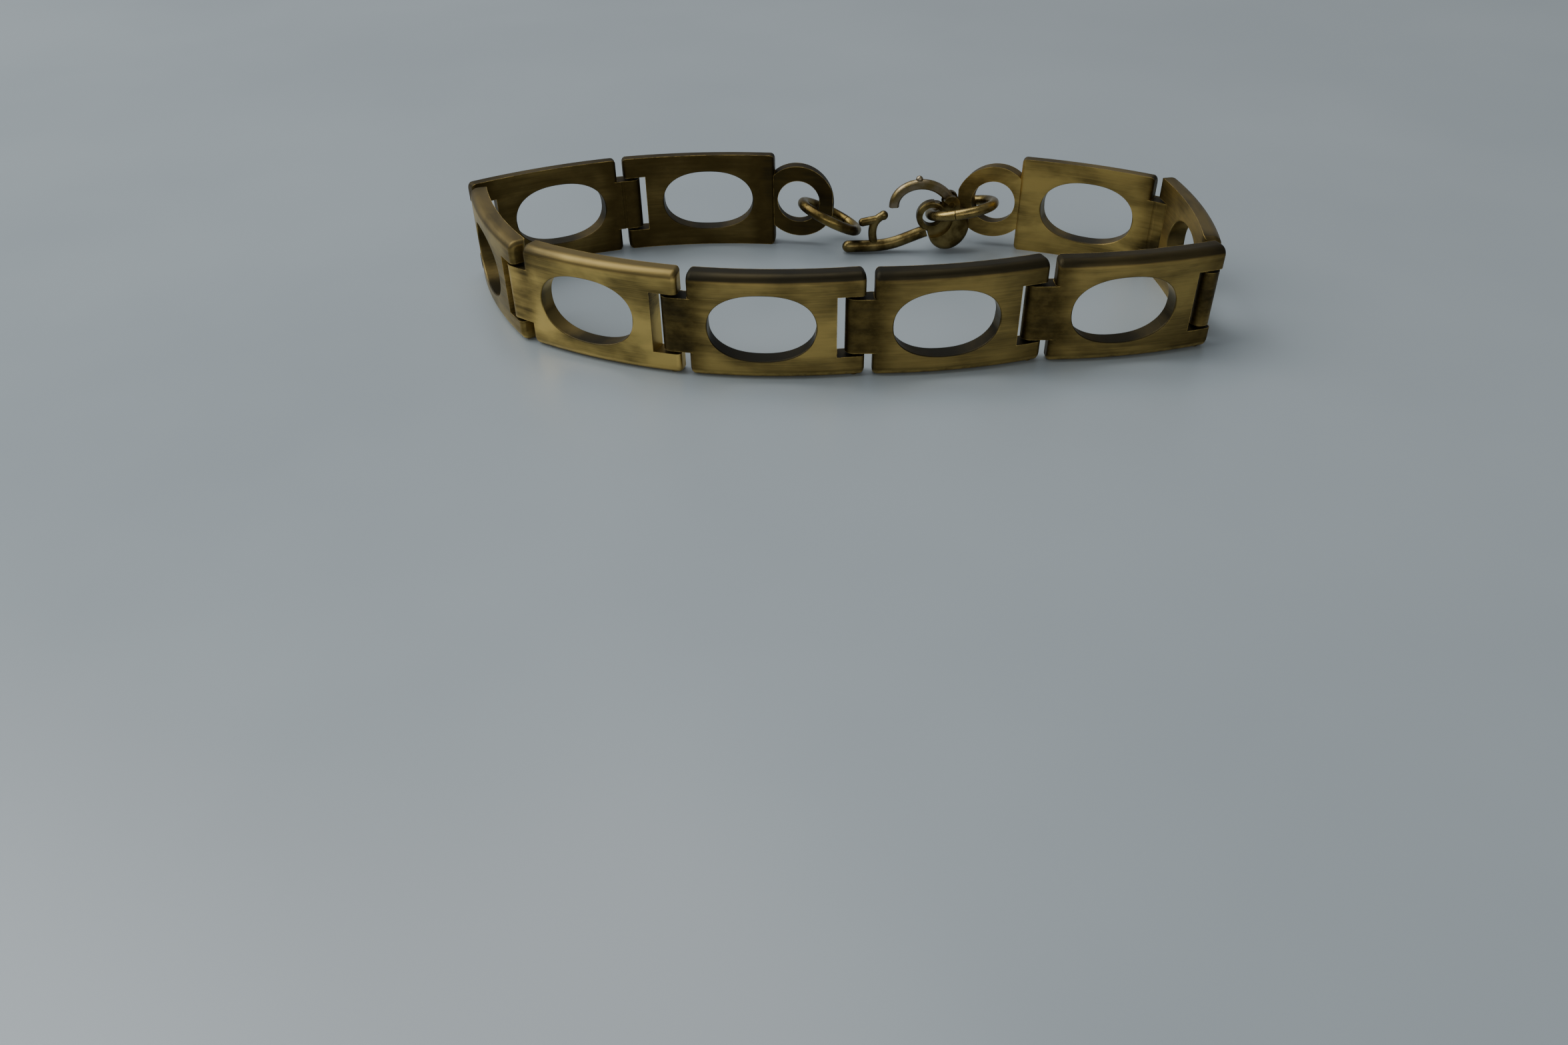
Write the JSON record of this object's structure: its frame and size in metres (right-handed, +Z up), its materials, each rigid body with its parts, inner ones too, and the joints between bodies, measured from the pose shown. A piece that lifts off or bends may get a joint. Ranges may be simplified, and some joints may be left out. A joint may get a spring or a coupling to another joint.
{
  "type": "hinged panel bracelet",
  "caption": "Bracelet of curved brass panels with oval windows, hinged on pressed pins and closed by jump rings and a sprung claw clasp.",
  "frame": {"origin": "middle of the footprint, on the surface the bracelet stands on", "axes": "+Z up along the hinge pins, +X along the loop's long way to the right, +Y from the front panels to the clasp"},
  "size_m": [0.0804, 0.0366, 0.011],
  "materials": {
    "panel_brass": "brushed antique",
    "pin_brass": "satin",
    "ring_brass": "satin antique",
    "clasp_brass": "cast antique",
    "spring_steel": "bright"
  },
  "bodies": {
    "panel_1": {"panel_1": "panel_brass", "hinge_pin_1": "pin_brass"},
    "panel_2": {"panel_2": "panel_brass", "hinge_pin_2": "pin_brass"},
    "panel_3": {"panel_3": "panel_brass", "hinge_pin_3": "pin_brass"},
    "panel_4": {"panel_4": "panel_brass", "hinge_pin_4": "pin_brass"},
    "panel_5": {"panel_5": "panel_brass", "hinge_pin_5": "pin_brass"},
    "panel_6": {"panel_6": "panel_brass", "hinge_pin_6": "pin_brass"},
    "panel_7": {"panel_7": "panel_brass", "hinge_pin_7": "pin_brass"},
    "panel_8": {"panel_8": "panel_brass", "hinge_pin_8": "pin_brass"},
    "panel_9": {"panel_9": "panel_brass"},
    "left_ring": {"left_ring": "ring_brass"},
    "right_ring": {"right_ring": "ring_brass"},
    "clasp": {"clasp_body": "clasp_brass", "gate_rivet": "pin_brass", "gate_spring": "spring_steel"},
    "gate": {"clasp_gate": "clasp_brass"}
  },
  "joints": [
    {"name": "hinge_4_5", "type": "hinge", "parent": "panel_5", "child": "panel_4", "pos_m": [-0.01566, -0.01599, 0.0055], "axis": [0, 0, 1], "range_deg": [0, 37.1]},
    {"name": "hinge_3_4", "type": "hinge", "parent": "panel_4", "child": "panel_3", "pos_m": [-0.03193, -0.0083, 0.0055], "axis": [0, 0, 1], "range_deg": [0, 56.4]},
    {"name": "hinge_2_3", "type": "hinge", "parent": "panel_3", "child": "panel_2", "pos_m": [-0.03905, 0.00823, 0.0055], "axis": [0, 0, 1], "range_deg": [-15, 104.3]},
    {"name": "hinge_1_2", "type": "hinge", "parent": "panel_2", "child": "panel_1", "pos_m": [-0.02261, 0.01556, 0.0055], "axis": [0, 0, 1], "range_deg": [-30, 37.9]},
    {"name": "hinge_5_6", "type": "hinge", "parent": "panel_5", "child": "panel_6", "pos_m": [0.00231, -0.017, 0.0055], "axis": [0, 0, -1], "range_deg": [0, 25.8]},
    {"name": "hinge_6_7", "type": "hinge", "parent": "panel_6", "child": "panel_7", "pos_m": [0.02016, -0.01461, 0.0055], "axis": [0, 0, -1], "range_deg": [0, 15.6]},
    {"name": "hinge_7_8", "type": "hinge", "parent": "panel_7", "child": "panel_8", "pos_m": [0.03797, -0.01205, 0.0055], "axis": [0, 0, -1], "range_deg": [0, 94.2]},
    {"name": "hinge_8_9", "type": "hinge", "parent": "panel_8", "child": "panel_9", "pos_m": [0.03879, 0.00593, 0.0055], "axis": [0, 0, -1], "range_deg": [0, 81]},
    {"name": "left_ring_swivel", "type": "hinge", "parent": "panel_1", "child": "left_ring", "pos_m": [0.00024, 0.01448, 0.00424], "axis": [0, 0, 1], "range_deg": [-20, 8]},
    {"name": "right_ring_swivel", "type": "hinge", "parent": "panel_9", "child": "right_ring", "pos_m": [0.01757, 0.01369, 0.00508], "axis": [0, 0, 1], "range_deg": [-12, 12]},
    {"name": "clasp_swivel", "type": "hinge", "parent": "right_ring", "child": "clasp", "pos_m": [0.01312, 0.01258, 0.0045], "axis": [0, 0, 1], "range_deg": [-8, 9]},
    {"name": "gate_pivot", "type": "hinge", "parent": "clasp", "child": "gate", "pos_m": [0.01522, 0.01262, 0.00615], "axis": [0.0175, -0.9998, 0], "range_deg": [0, 15], "stiffness_Nm_per_rad": 0.0004, "springref_deg": -17.19}
  ]
}
